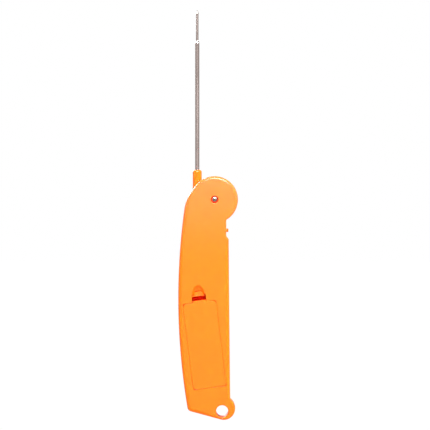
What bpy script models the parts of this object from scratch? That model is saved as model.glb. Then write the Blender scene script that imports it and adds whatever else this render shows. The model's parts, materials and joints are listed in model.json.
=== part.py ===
"""Folding probe thermometer with a clamshell case, every piece its own object.

Metres, +Z up. The origin is the centre of the hanging eye, half way through the case. The case stands
above the eye, the probe points up, the display faces -Y and the battery door is on the +Y back.
Outlines are lists of (x, z) points, and plates made from them are thick along Y.
"""

import math

import bmesh
import bpy
from mathutils import Matrix, Vector

MM = 0.001
WORLD = Matrix.Identity(4)
UPRIGHT = Matrix.Rotation(math.radians(90), 4, "X")  # stands a flat curve up in the XZ plane

# Case outline
BACK_Y = 10 * MM
FRONT_Y = -10 * MM
PARTING = 0.15 * MM  # each shell stops this far short of the middle plane
RIM_ROUND = 1.8 * MM
EYE_HOLE_R = 4.3 * MM
EYE_CENTRE = Vector((-1.2 * MM, 1.8 * MM))
EYE_R = 8 * MM
BELLY_CENTRE = Vector((-429.9 * MM, 78.8 * MM))
BELLY_R = 460.7 * MM
SHOULDER_R = 27 * MM
SHOULDER_ANGLE = 7.8  # degrees above +X where the belly's arc runs into the shoulder's
PIVOT = Vector((5.3 * MM, 147.95 * MM))
HEAD_R = 16.5 * MM
BASE_SLOPE = 14.9  # degrees
CORNER_R = 3.2 * MM
NOTCH_X = -2.9 * MM
NOTCH_LOW_Z = 122.3 * MM
EDGE_TOP = Vector((-4.63 * MM, 120.3 * MM))
EDGE_LOW_X = -5.69 * MM

# Hollow of the case
WALL = 1.8 * MM
CAVITY_X = -3.25 * MM
CAVITY_NOTCH_X = -1.1 * MM
CAVITY_STEP_Z = 117 * MM
CAVITY_LOW_Z = 10.5 * MM
CAVITY_TOP_Z = 132.5 * MM
OVER = 0.5 * MM  # how far a cutter runs past the face that it opens

# Probe, its hub and the slot that the hub turns in
HUB_R = 13 * MM
HUB_HALF = 3.3 * MM
SLOT_HALF = 4.2 * MM
SLOT_R = 13.4 * MM
SLOT_SIDE_X = 20.95 * MM
SLOT_LOW_Z = 147.9 * MM
BOSS_R = 3.2 * MM
BOSS_TOP_Y = 3.9 * MM
HUB_BORE_R = 3.28 * MM
LEAD_RING = (6 * MM, 10.5 * MM)  # ring-shaped hollow in the hub's front face, where the lead goes in
LEAD_RING_DEPTH = 2.1 * MM
NECK_OFFSET = 12.15 * MM
NECK_R = 3.15 * MM
NECK_LOW = 0.3 * MM  # above the pivot
NECK_TOP = 20.75 * MM
STEM_R = 1.5 * MM
STEM_LOW = 2.3 * MM
STEM_TAPER_LOW = 109.2 * MM
STEM_TAPER_TOP = 111.9 * MM
TIP_R = 0.9 * MM
TIP_TOP = 132.65 * MM

# Battery bay: its frame is centred on the door and leans with it
BAY_CENTRE = (12.2 * MM, 0, 46.4 * MM)
BAY_LEAN = 7  # degrees
BAY = Matrix.Translation(BAY_CENTRE) @ Matrix.Rotation(math.radians(BAY_LEAN), 4, "Y")
DOOR_SIZE = (23.2 * MM, 60 * MM)
DOOR_FIT = 0.25 * MM
DOOR_UNDER_Y = 8.3 * MM
TUB_HALF = (11 * MM, 24.4 * MM)
TUB_WALL = 1.1 * MM
TUB_FLOOR_Y = -2.7 * MM
TUB_UNDER_Y = -3.6 * MM
CELL_R = 5.25 * MM
CELL_LENGTH = 44.5 * MM
CELL_SPREAD = 5.4 * MM
CELL_Y = 2.7 * MM
SCREW_SPREAD = 8 * MM
SCREW_REACH = 28 * MM
LATCH_HALF = 4.6 * MM

# Electronics, from the front inwards
FRONT_INSIDE_Y = -8.2 * MM
BOARD_FRONT_Y = -4.85 * MM
BOARD_BACK_Y = -3.85 * MM
DISPLAY_CENTRE = (12.6 * MM, 98 * MM)
BUTTON_X = 12.5 * MM
BUTTONS = {"power": 66 * MM, "hold": 54 * MM, "unit": 42 * MM}
PLUNGER_Z = 126.4 * MM


def fresh_collection(name):
    collection = bpy.data.collections.new(name)
    bpy.context.scene.collection.children.link(collection)
    return collection


def paint(name, colour, roughness, metallic=0.0, alpha=1.0):
    material = bpy.data.materials.new(name)
    material.use_nodes = True
    shader = material.node_tree.nodes["Principled BSDF"]
    shader.inputs["Base Color"].default_value = (*colour, 1)
    shader.inputs["Roughness"].default_value = roughness
    shader.inputs["Metallic"].default_value = metallic
    shader.inputs["Alpha"].default_value = alpha
    return material


def as_part(obj, material, smooth=True):
    """Moves a finished piece out of the helpers and gives it its material."""
    CUTTERS.objects.unlink(obj)
    PARTS.objects.link(obj)
    obj.hide_render = False
    obj.display_type = "TEXTURED"
    obj.data.materials.clear()
    obj.data.materials.append(material)
    if smooth and obj.type == "MESH":
        obj.data.shade_smooth()
        obj.data.set_sharp_from_angle(angle=math.radians(35))
    return obj


def helper(name, data, matrix):
    """Every shape starts as a helper, and stays one if it only cuts or joins."""
    obj = bpy.data.objects.new(name, data)
    obj.matrix_world = matrix
    obj.hide_render = True
    obj.display_type = "WIRE"
    CUTTERS.objects.link(obj)
    return obj


def from_bmesh(name, shape, matrix):
    mesh = bpy.data.meshes.new(name)
    shape.to_mesh(mesh)
    shape.free()
    return helper(name, mesh, matrix)


def plate(name, outline, low_y, high_y, frame=WORLD):
    """A flat outline made solid between two heights along Y."""
    curve = bpy.data.curves.new(name, "CURVE")
    curve.dimensions = "2D"
    curve.fill_mode = "BOTH"
    curve.extrude = (high_y - low_y) / 2
    spline = curve.splines.new("POLY")
    spline.points.add(len(outline) - 1)
    for point, (x, z) in zip(spline.points, outline):
        point.co = (x, z, 0, 1)
    spline.use_cyclic_u = True
    middle = Matrix.Translation((0, (low_y + high_y) / 2, 0))
    guide = helper(name + "_outline", curve, frame @ middle @ UPRIGHT)
    bpy.context.view_layer.update()
    evaluated = guide.evaluated_get(bpy.context.evaluated_depsgraph_get())
    mesh = bpy.data.meshes.new_from_object(evaluated)
    shape = bmesh.new()
    shape.from_mesh(mesh)
    bmesh.ops.remove_doubles(shape, verts=shape.verts, dist=1e-6)
    caps = [face for face in shape.faces if abs(face.normal.z) > 0.99]
    bmesh.ops.dissolve_faces(shape, faces=caps)
    bmesh.ops.recalc_face_normals(shape, faces=shape.faces)
    shape.to_mesh(mesh)
    shape.free()
    solid = helper(name, mesh, guide.matrix_world.copy())
    bpy.data.objects.remove(guide)
    return solid


def box(name, low, high, frame=WORLD):
    """A box between two corners."""
    low, high = Vector(low), Vector(high)
    shape = bmesh.new()
    bmesh.ops.create_cube(shape, size=1, matrix=Matrix.Diagonal((*(high - low), 1)))
    return from_bmesh(name, shape, frame @ Matrix.Translation((low + high) / 2))


def rod(name, start, end, radius, frame=WORLD, sides=32):
    """A cylinder between two points."""
    start, end = Vector(start), Vector(end)
    shape = bmesh.new()
    bmesh.ops.create_cone(
        shape,
        cap_ends=True,
        segments=sides,
        radius1=radius,
        radius2=radius,
        depth=(end - start).length,
    )
    turn = (end - start).to_track_quat("Z", "Y").to_matrix().to_4x4()
    return from_bmesh(name, shape, frame @ Matrix.Translation((start + end) / 2) @ turn)


def turned(name, profile, matrix, steps=24):
    """A profile of (radius, height) points, outside first and top to bottom, turned about local Z."""
    shape = bmesh.new()
    corners = [shape.verts.new((radius, 0, height)) for radius, height in profile]
    for start, end in zip(corners, corners[1:]):
        shape.edges.new((start, end))
    obj = from_bmesh(name, shape, matrix)
    screw = obj.modifiers.new("Turn", "SCREW")
    screw.steps = steps
    screw.render_steps = steps
    screw.use_merge_vertices = True
    screw.merge_threshold = 0.00001
    return obj


def tube(name, route, radius, frame=WORLD):
    """A round wire through the points of a route."""
    curve = bpy.data.curves.new(name, "CURVE")
    curve.dimensions = "3D"
    curve.bevel_depth = radius
    curve.bevel_resolution = 2
    curve.use_fill_caps = True
    spline = curve.splines.new("POLY")
    spline.points.add(len(route) - 1)
    for point, place in zip(spline.points, route):
        point.co = (*place, 1)
    return helper(name, curve, frame)


def boolean(target, tools, operation):
    for tool in tools:
        modifier = target.modifiers.new(operation.title() + " " + tool.name, "BOOLEAN")
        modifier.operation = operation
        modifier.solver = "EXACT"
        modifier.object = tool


def cut(target, *tools):
    boolean(target, tools, "DIFFERENCE")


def join(target, *tools):
    boolean(target, tools, "UNION")


def arc(centre, radius, start, end, count):
    """Points on an arc from start to end, in degrees, both ends included."""
    points = []
    for step in range(count + 1):
        angle = math.radians(start + (end - start) * step / count)
        points.append((centre[0] + radius * math.cos(angle), centre[1] + radius * math.sin(angle)))
    return points


def direction(angle):
    return Vector((math.cos(math.radians(angle)), math.sin(math.radians(angle))))


def angle_of(vector):
    return math.degrees(math.atan2(vector.y, vector.x))


def rounded_rectangle(centre, width, height, radius, count=4):
    points = []
    for start, side_x, side_z in ((0, 1, 1), (90, -1, 1), (180, -1, -1), (270, 1, -1)):
        corner = (
            centre[0] + side_x * (width / 2 - radius),
            centre[1] + side_z * (height / 2 - radius),
        )
        points += arc(corner, radius, start, start + 90, count)
    return points


def belly_x(z, inset=0.0):
    """X of the long curved side at a height, moved inwards by inset."""
    return BELLY_CENTRE.x + math.sqrt((BELLY_R - inset) ** 2 - (z - BELLY_CENTRE.y) ** 2)


def belly_points(low_z, high_z, inset, count):
    """The long curved side between two heights, bottom to top."""
    heights = [low_z + (high_z - low_z) * step / count for step in range(count + 1)]
    return [(belly_x(z, inset), z) for z in heights]


def corner_centre():
    """Centre of the rounded corner between the sloping base and the belly."""
    outward = direction(270 + BASE_SLOPE)
    along = direction(BASE_SLOPE)
    start = EYE_CENTRE + outward * (EYE_R - CORNER_R)
    gap = start - BELLY_CENTRE
    reach = gap.dot(along)
    room = gap.length_squared - (BELLY_R - CORNER_R) ** 2
    return start + along * (math.sqrt(reach * reach - room) - reach)


def case_outline():
    """The case seen from the front, anticlockwise from where the straight edge meets the eye."""
    edge_angle = math.degrees(math.acos((EDGE_LOW_X - EYE_CENTRE.x) / EYE_R))
    base_angle = 270 + BASE_SLOPE
    points = arc(EYE_CENTRE, EYE_R, edge_angle, base_angle, 14)
    corner = corner_centre()
    belly_start = angle_of(corner - BELLY_CENTRE)
    points += arc(corner, CORNER_R, base_angle, 360 + belly_start, 5)
    points += arc(BELLY_CENTRE, BELLY_R, belly_start, SHOULDER_ANGLE, 16)[1:]
    shoulder = BELLY_CENTRE + direction(SHOULDER_ANGLE) * (BELLY_R - SHOULDER_R)
    apart = PIVOT - shoulder
    # The head's circle meets the shoulder's at this angle on each side of the line between centres.
    cosine = (apart.length_squared + SHOULDER_R**2 - HEAD_R**2) / (2 * apart.length * SHOULDER_R)
    meet_angle = angle_of(apart) - math.degrees(math.acos(cosine))
    points += arc(shoulder, SHOULDER_R, SHOULDER_ANGLE, meet_angle, 6)[1:]
    meet = shoulder + direction(meet_angle) * SHOULDER_R
    notch_angle = 360 - math.degrees(math.acos((NOTCH_X - PIVOT.x) / HEAD_R))
    points += arc(PIVOT, HEAD_R, angle_of(meet - PIVOT), notch_angle, 32)[1:]
    points += [(NOTCH_X, NOTCH_LOW_Z), tuple(EDGE_TOP)]
    return points


def cavity_outline():
    points = belly_points(CAVITY_LOW_Z, CAVITY_TOP_Z, WALL, 14)
    points += [
        (CAVITY_NOTCH_X, CAVITY_TOP_Z),
        (CAVITY_NOTCH_X, CAVITY_STEP_Z),
        (CAVITY_X, CAVITY_STEP_Z),
        (CAVITY_X, CAVITY_LOW_Z),
    ]
    return points


def slot_outline():
    """Room for the hub, open over the top and on the notch side, where the neck swings."""
    far_x, far_z = -20 * MM, 175 * MM
    left_x, left_z = NOTCH_X + PARTING * 2, 133 * MM
    start = -math.degrees(math.asin((PIVOT.y - SLOT_LOW_Z) / SLOT_R))
    end = -math.degrees(math.acos((left_x - PIVOT.x) / SLOT_R))
    points = [(far_x, left_z), (far_x, far_z), (SLOT_SIDE_X, far_z), (SLOT_SIDE_X, SLOT_LOW_Z)]
    return points + arc(PIVOT, SLOT_R, start, end, 20) + [(left_x, left_z)]


def round_rim(obj, outward_y):
    """Rounds the edge of the face that looks along outward_y. A plate's local Z is the world's -Y."""
    shape = bmesh.new()
    shape.from_mesh(obj.data)
    weight = shape.edges.layers.float.new("bevel_weight_edge")
    for face in shape.faces:
        if face.normal.z * -outward_y > 0.99:
            for edge in face.edges:
                edge[weight] = 1
    shape.to_mesh(obj.data)
    shape.free()
    bevel = obj.modifiers.new("Rim", "BEVEL")
    bevel.limit_method = "WEIGHT"
    bevel.width = RIM_ROUND
    bevel.segments = 3
    bevel.use_clamp_overlap = False


def bay_rod(name, u, v, low_y, high_y, radius, sides=24):
    """A cylinder along Y at a place in the battery bay."""
    return rod(name, (u, low_y, v), (u, high_y, v), radius, BAY, sides)


def screw_places():
    """The case screws, one near each corner of the battery bay."""
    return [(u, v) for v in (SCREW_REACH, -SCREW_REACH) for u in (-SCREW_SPREAD, SCREW_SPREAD)]


def make_shared_cutters():
    """Hollows that both shells share."""
    eye = rod("eye_cut", (0, -15 * MM, 0), (0, 15 * MM, 0), EYE_HOLE_R, sides=36)
    slot = plate("slot_cut", slot_outline(), -SLOT_HALF, SLOT_HALF)
    groove = box("groove_cut", (-12 * MM, -2 * MM, 12.5 * MM), (-4.35 * MM, 2 * MM, 121 * MM))
    plunger_hole = box(
        "plunger_cut",
        (-5 * MM, -1.75 * MM, PLUNGER_Z - 1.45 * MM),
        (CAVITY_NOTCH_X + OVER, 1.75 * MM, PLUNGER_Z + 1.45 * MM),
    )
    return [eye, slot, groove, plunger_hole]


def make_back_shell(shared):
    shell = plate("back_shell", case_outline(), PARTING, BACK_Y)
    round_rim(shell, 1)
    cut(shell, plate("back_cavity_cut", cavity_outline(), -OVER, BACK_Y - 1.7 * MM))
    cut(shell, *shared)

    # Battery tub, the ledges under the door's ends, and the latch housing, all joined to the wall
    roof = BACK_Y - 1.6 * MM
    tub_u, tub_v = TUB_HALF[0] + TUB_WALL, TUB_HALF[1] + TUB_WALL
    ledge_u, ledge_v = 11.9 * MM, 33 * MM
    join(shell, box("tub_wall", (-tub_u, TUB_UNDER_Y, -tub_v), (tub_u, roof, tub_v), BAY))
    join(shell, box("ledges", (-ledge_u, 5.4 * MM, -ledge_v), (ledge_u, roof, ledge_v), BAY))
    join(shell, box("latch_wall", (-6 * MM, 2.3 * MM, 29 * MM), (6 * MM, roof, 36.4 * MM), BAY))
    join(shell, box("scoop_wall", (-6.5 * MM, 5.8 * MM, 28 * MM), (6.5 * MM, roof, 43 * MM), BAY))
    for number, (u, v) in enumerate(screw_places(), 1):
        join(shell, bay_rod(f"back_boss_{number}", u, v, 0.4 * MM, 6 * MM, 2.4 * MM, 20))

    # The openings inside them
    opening = (DOOR_SIZE[0] + 2 * DOOR_FIT, DOOR_SIZE[1] + 2 * DOOR_FIT)
    corner = 1.9 * MM + DOOR_FIT
    top_y = BACK_Y + OVER
    cut(
        shell,
        plate("recess_cut", rounded_rectangle((0, 0), *opening, corner), 8 * MM, top_y, BAY),
        box("tub_cut", (-TUB_HALF[0], TUB_FLOOR_Y, -TUB_HALF[1]), (TUB_HALF[0], top_y, TUB_HALF[1]), BAY),
        box("latch_cut", (-4.95 * MM, 3.4 * MM, 29.9 * MM), (4.95 * MM, top_y, 35.5 * MM), BAY),
    )
    scoop = bmesh.new()
    bmesh.ops.create_uvsphere(
        scoop,
        u_segments=20,
        v_segments=12,
        radius=1,
        matrix=Matrix.Diagonal((4.4 * MM, 2.7 * MM, 7.5 * MM, 1)),
    )
    scoop_place = BAY @ Matrix.Translation((0, BACK_Y + 0.02 * MM, 34.2 * MM))
    cut(shell, from_bmesh("scoop_cut", scoop, scoop_place))
    for side in (-1, 1):
        low = (side * 3.9 * MM - 1.8 * MM, 6.3 * MM, -32.1 * MM)
        high = (side * 3.9 * MM + 1.8 * MM, 8.15 * MM, -27.1 * MM)
        cut(shell, box(f"hook_cut_{side + 2}", low, high, BAY))
    for number, (u, v) in enumerate(screw_places(), 1):
        cut(shell, bay_rod(f"head_cut_{number}", u, v, 6.4 * MM, 8.2 * MM, 2 * MM, 20))
        cut(shell, bay_rod(f"shank_cut_{number}", u, v, 0, 7 * MM, 1.3 * MM, 16))

    # Pivot screw's counterbore
    x, z = PIVOT
    cut(
        shell,
        rod("pivot_head_cut", (x, 6.8 * MM, z), (x, top_y, z), 2.6 * MM),
        rod("pivot_shank_cut", (x, 3 * MM, z), (x, 7.5 * MM, z), 1.5 * MM, sides=20),
    )
    return as_part(shell, SHELL)


def make_front_shell(shared):
    shell = plate("front_shell", case_outline(), FRONT_Y, -PARTING)
    round_rim(shell, -1)
    cut(shell, plate("front_cavity_cut", cavity_outline(), FRONT_INSIDE_Y, OVER))
    cut(shell, *shared)
    x, z = PIVOT
    join(shell, rod("pivot_boss", (x, -5 * MM, z), (x, BOSS_TOP_Y, z), BOSS_R, sides=48))
    cut(shell, rod("pivot_thread_cut", (x, -7 * MM, z), (x, 5 * MM, z), 1.5 * MM, sides=20))
    for number, (u, v) in enumerate(screw_places(), 1):
        boss = bay_rod(f"front_boss_{number}", u, v, FRONT_INSIDE_Y - OVER, 0.1 * MM, 2.4 * MM, 20)
        join(shell, boss)
        cut(shell, bay_rod(f"thread_cut_{number}", u, v, -6.5 * MM, 1 * MM, 1.3 * MM, 16))
    outside = FRONT_Y - OVER
    cut(
        shell,
        plate(
            "lens_cut", rounded_rectangle(DISPLAY_CENTRE, 26.4 * MM, 38.4 * MM, 2.7 * MM), outside, -9 * MM
        ),
        plate(
            "window_cut", rounded_rectangle(DISPLAY_CENTRE, 21.5 * MM, 30 * MM, 1 * MM), outside, -7 * MM
        ),
    )
    for name, button_z in BUTTONS.items():
        hole = rounded_rectangle((BUTTON_X, button_z), 14.6 * MM, 8.1 * MM, 4.05 * MM, 6)
        cut(shell, plate(name + "_hole_cut", hole, outside, -7 * MM))
    cut(
        shell,
        box("lead_channel_cut", (10.9 * MM, -6.6 * MM, 131 * MM), (13.1 * MM, 1 * MM, 145.5 * MM)),
    )
    return as_part(shell, SHELL)


def make_door():
    """The door with its moulded U latch and its two hooks. It swings about its lower outer edge."""
    hinge = BAY @ Matrix.Translation((0, BACK_Y, -DOOR_SIZE[1] / 2))
    top = DOOR_SIZE[1]
    under = DOOR_UNDER_Y - BACK_Y
    door = plate(
        "battery_door", rounded_rectangle((0, top / 2), *DOOR_SIZE, 1.9 * MM), under, 0, hinge
    )
    # The spring's section, in v and y, swept across the tongue's width
    leg, inner_v, outer_v, bend_y = 0.9 * MM, top + 0.4 * MM, top + 4.15 * MM, -6 * MM
    section = [
        (top - 1 * MM, under + 0.1 * MM),
        (inner_v, under + 0.1 * MM),
        (inner_v, bend_y),
        (outer_v + leg, bend_y),
        (outer_v + leg, -0.6 * MM),
        (outer_v, -0.6 * MM),
        (outer_v, bend_y + leg),
        (inner_v + leg, bend_y + leg),
        (inner_v + leg, -0.05 * MM),
        (top - 1 * MM, -0.05 * MM),
    ]
    across = hinge @ Matrix(((0, 1, 0, 0), (0, 0, 1, 0), (1, 0, 0, 0), (0, 0, 0, 1)))
    join(door, plate("latch_spring", section, -LATCH_HALF, LATCH_HALF, across))
    tab = [
        (-3.5 * MM, outer_v + 0.2 * MM),
        (3.5 * MM, outer_v + 0.2 * MM),
        (2.3 * MM, top + 7.5 * MM),
        (-2.3 * MM, top + 7.5 * MM),
    ]
    join(door, plate("finger_tab", tab, -1.5 * MM, -0.4 * MM, hinge))
    for side in (-1, 1):
        low = (side * 3.9 * MM - 1.4 * MM, -3 * MM, -1.4 * MM)
        high = (side * 3.9 * MM + 1.4 * MM, -2.1 * MM, 1.5 * MM)
        root_low = (low[0], -3 * MM, 0.4 * MM)
        root_high = (high[0], under + 0.4 * MM, 1.5 * MM)
        join(door, box(f"hook_{side + 2}", low, high, hinge))
        join(door, box(f"hook_root_{side + 2}", root_low, root_high, hinge))
    return as_part(door, DOOR_PLASTIC)


def make_probe():
    """Hub with its neck, and the hollow stem with the sensor inside. All hang on the pivot's empty."""
    pivot = bpy.data.objects.new("probe_pivot", None)
    pivot.location = (PIVOT.x, 0, PIVOT.y)
    PARTS.objects.link(pivot)
    bpy.context.view_layer.update()
    frame = pivot.matrix_world.copy()

    hub = rod("probe_hub", (0, -HUB_HALF, 0), (0, HUB_HALF, 0), HUB_R, frame, 64)
    neck_profile = [
        (0, NECK_TOP),
        (NECK_R - 1.5 * MM, NECK_TOP),
        (NECK_R - 0.75 * MM, NECK_TOP - 0.2 * MM),
        (NECK_R - 0.2 * MM, NECK_TOP - 0.75 * MM),
        (NECK_R, NECK_TOP - 1.5 * MM),
        (NECK_R, NECK_LOW),
        (0, NECK_LOW),
    ]
    on_axis = frame @ Matrix.Translation((NECK_OFFSET, 0, 0))
    join(hub, turned("neck", neck_profile, on_axis, 28))
    ring = rod("ring_outer", (0, -5 * MM, 0), (0, -HUB_HALF + LEAD_RING_DEPTH, 0), LEAD_RING[1], frame, 40)
    cut(ring, rod("ring_inner", (0, -6 * MM, 0), (0, 0, 0), LEAD_RING[0], frame, 40))
    cut(
        hub,
        rod("bore_cut", (0, -5 * MM, 0), (0, 5 * MM, 0), HUB_BORE_R, frame, 48),
        ring,
        rod("socket_cut", (0, 0, 2 * MM), (0, 0, 22 * MM), STEM_R + 0.1 * MM, on_axis, 24),
    )
    as_part(hub, HUB_PLASTIC)

    stem_profile = [
        (0, TIP_TOP),
        (0.35 * MM, TIP_TOP - 0.25 * MM),
        (TIP_R, TIP_TOP - 1.8 * MM),
        (TIP_R, STEM_TAPER_TOP),
        (STEM_R, STEM_TAPER_LOW),
        (STEM_R, STEM_LOW),
        (STEM_R - 0.3 * MM, STEM_LOW),
        (STEM_R - 0.3 * MM, STEM_TAPER_LOW),
        (TIP_R - 0.3 * MM, STEM_TAPER_TOP),
        (TIP_R - 0.3 * MM, TIP_TOP - 2.4 * MM),
        (0, TIP_TOP - 2.4 * MM),
    ]
    stem = turned("probe_stem", stem_profile, WORLD)
    bead_top = TIP_TOP - 2.7 * MM
    bead_profile = [
        (0, bead_top),
        (0.3 * MM, bead_top - 0.1 * MM),
        (0.45 * MM, bead_top - 0.5 * MM),
        (0.45 * MM, bead_top - 2.8 * MM),
        (0.25 * MM, bead_top - 3.3 * MM),
        (0, bead_top - 3.3 * MM),
    ]
    bead = turned("sensor_bead", bead_profile, WORLD, 12)
    wire = rod("sensor_wire", (0, 0, 3 * MM), (0, 0, bead_top - 3.6 * MM), 0.35 * MM, sides=8)
    for piece, material in ((stem, STEEL), (bead, GLASS_BEAD), (wire, WIRE)):
        piece.parent = pivot
        piece.matrix_basis = Matrix.Translation((NECK_OFFSET, 0, 0)) @ piece.matrix_basis
        as_part(piece, material)


def make_pivot_pieces():
    """The screw that holds the ears together, and the washers on each side of the hub."""
    x, z = PIVOT
    head_y = 6.9 * MM
    on_pivot = Matrix.Translation((x, 0, z)) @ Matrix.Rotation(math.radians(-90), 4, "X")
    profile = [
        (0, head_y + 1.7 * MM),
        (1.1 * MM, head_y + 1.5 * MM),
        (1.85 * MM, head_y + 0.8 * MM),
        (1.85 * MM, head_y),
        (1.2 * MM, head_y),
        (1.2 * MM, -5 * MM),
        (0.5 * MM, -6.2 * MM),
        (0, -6.2 * MM),
    ]
    screw = turned("pivot_screw", profile, on_pivot)
    for number, turn in enumerate((25, 115), 1):
        slot_frame = Matrix.Translation((x, 0, z)) @ Matrix.Rotation(math.radians(turn), 4, "Y")
        low = (-1.3 * MM, head_y + 0.9 * MM, -0.25 * MM)
        high = (1.3 * MM, head_y + 3 * MM, 0.25 * MM)
        cut(screw, box(f"drive_cut_{number}", low, high, slot_frame))
    as_part(screw, STEEL)
    for name, outer, side, material in (
        ("friction_washer", 8 * MM, 1, NYLON),
        ("wave_washer", 5.6 * MM, -1, STEEL),
    ):
        low_y, high_y = sorted((side * 3.45 * MM, side * 4.05 * MM))
        washer = rod(name, (x, low_y, z), (x, high_y, z), outer, sides=36)
        hole = rod(name + "_hole", (x, low_y - OVER, z), (x, high_y + OVER, z), BOSS_R + 0.15 * MM, sides=36)
        cut(washer, hole)
        as_part(washer, material)


def make_case_screws():
    for number, (u, v) in enumerate(screw_places(), 1):
        screw = bay_rod(f"case_screw_{number}", u, v, -5.9 * MM, 7 * MM, 1 * MM, 12)
        join(screw, bay_rod(f"screw_head_{number}", u, v, 6.5 * MM, 7.8 * MM, 1.8 * MM, 20))
        for turn in (0, 90):
            frame = BAY @ Matrix.Translation((u, 0, v)) @ Matrix.Rotation(math.radians(turn), 4, "Y")
            low, high = (-1.1 * MM, 7.2 * MM, -0.25 * MM), (1.1 * MM, 9 * MM, 0.25 * MM)
            cut(screw, box(f"screw_slot_{number}_{turn}", low, high, frame))
        as_part(screw, STEEL)


def make_cells():
    """Two small cells side by side, turned opposite ways, with their contacts."""
    half = CELL_LENGTH / 2
    for number, side in ((1, -1), (2, 1)):
        nub = 1 * MM
        profile = [
            (0, half),
            (1.8 * MM, half),
            (1.8 * MM, half - nub),
            (CELL_R - 0.4 * MM, half - nub),
            (CELL_R, half - nub - 0.4 * MM),
            (CELL_R, -half + 0.3 * MM),
            (CELL_R - 0.3 * MM, -half),
            (0, -half),
        ]
        place = Matrix.Translation((side * CELL_SPREAD, CELL_Y, 0))
        flip = Matrix.Rotation(math.radians(0 if side < 0 else 180), 4, "Y")
        as_part(turned(f"battery_cell_{number}", profile, BAY @ place @ flip), CELL_WRAP)

    end = TUB_HALF[1]
    plate_half = 4.2 * MM
    contacts = (
        ("positive_contact", -CELL_SPREAD - plate_half, -CELL_SPREAD + plate_half, half + 0.3 * MM),
        ("negative_contact", CELL_SPREAD - plate_half, CELL_SPREAD + plate_half, end - 0.5 * MM),
        ("bridge_contact", -CELL_SPREAD - plate_half, CELL_SPREAD + plate_half, -end + 0.1 * MM),
    )
    for name, low_u, high_u, low_v in contacts:
        low = (low_u, CELL_Y - plate_half, low_v)
        high = (high_u, CELL_Y + plate_half, low_v + 0.4 * MM)
        as_part(box(name, low, high, BAY), STEEL, smooth=False)
    make_contact_spring("negative_spring", CELL_SPREAD, end - 0.9 * MM, half + 0.4 * MM)
    make_contact_spring("bridge_spring", -CELL_SPREAD, -end + 0.9 * MM, -half - 0.4 * MM)


def make_contact_spring(name, u, wide_v, narrow_v):
    """A conical spring, wide on its plate and narrow on the cell."""
    turns, per_turn = 2.5, 12
    count = round(turns * per_turn)
    route = []
    for step in range(count + 1):
        share = step / count
        angle = math.tau * turns * share
        radius = (3.2 - 1.6 * share) * MM
        height = wide_v + (narrow_v - wide_v) * share
        route.append((u + radius * math.cos(angle), CELL_Y + radius * math.sin(angle), height))
    as_part(tube(name, route, 0.18 * MM, BAY), STEEL)


def make_electronics():
    low_z, high_z, left_x = 23 * MM, 130.4 * MM, -0.6 * MM
    outline = belly_points(low_z, high_z, WALL + 1 * MM, 10) + [(left_x, high_z), (left_x, low_z)]
    board = plate("circuit_board", outline, BOARD_FRONT_Y, BOARD_BACK_Y)
    for number, (u, v) in enumerate(screw_places()[:2], 1):
        cut(board, bay_rod(f"board_cut_{number}", u, v, -6 * MM, -3 * MM, 2.9 * MM, 24))
    as_part(board, BOARD)
    chip_low = (7.5 * MM, BOARD_BACK_Y + 0.1 * MM, 93 * MM)
    as_part(box("processor_chip", chip_low, (17.5 * MM, -2.4 * MM, 103 * MM)), BLACK, smooth=False)

    lens = rounded_rectangle(DISPLAY_CENTRE, 26 * MM, 38 * MM, 2.5 * MM)
    as_part(plate("display_lens", lens, -9.95 * MM, -9.15 * MM), LENS)
    panel = rounded_rectangle(DISPLAY_CENTRE, 23 * MM, 32 * MM, 0.3 * MM, 1)
    as_part(plate("lcd_panel", panel, -8 * MM, -6.6 * MM), LCD)
    outside = rounded_rectangle(DISPLAY_CENTRE, 25.8 * MM, 35.4 * MM, 1 * MM)
    frame = plate("lcd_frame", outside, -8 * MM, -5 * MM)
    inside = rounded_rectangle(DISPLAY_CENTRE, 23.6 * MM, 32.6 * MM, 0.4 * MM, 1)
    cut(frame, plate("frame_cut", inside, -9 * MM, -4 * MM))
    as_part(frame, NYLON)
    strip_z = 14.5 * MM
    for name, side in (("lower_zebra_strip", -1), ("upper_zebra_strip", 1)):
        middle_z = DISPLAY_CENTRE[1] + side * strip_z
        low = (2 * MM, -6.45 * MM, middle_z - 1 * MM)
        high = (23.2 * MM, -5 * MM, middle_z + 1 * MM)
        as_part(box(name, low, high), RUBBER, smooth=False)


def make_buttons():
    """Each cap slides in its hole in the front shell and presses a small switch on the board."""
    for name, z in BUTTONS.items():
        centre = Matrix.Translation((BUTTON_X, 0, z))
        outline = rounded_rectangle((0, 0), 14 * MM, 7.5 * MM, 3.75 * MM, 6)
        flange = rounded_rectangle((0, 0), 16 * MM, 9.5 * MM, 3 * MM, 3)
        cap = plate(name + "_button", outline, -10.7 * MM, -7.6 * MM, centre)
        join(cap, plate(name + "_flange", flange, -8 * MM, -7.4 * MM, centre))
        as_part(cap, BUTTON)
        half = 3 * MM
        switch = box(name + "_switch", (-half, -6.45 * MM, -half), (half, -4.95 * MM, half), centre)
        join(switch, rod(name + "_actuator", (0, -6.75 * MM, 0), (0, -6 * MM, 0), 1.5 * MM, centre, 20))
        as_part(switch, BLACK, smooth=False)


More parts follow.
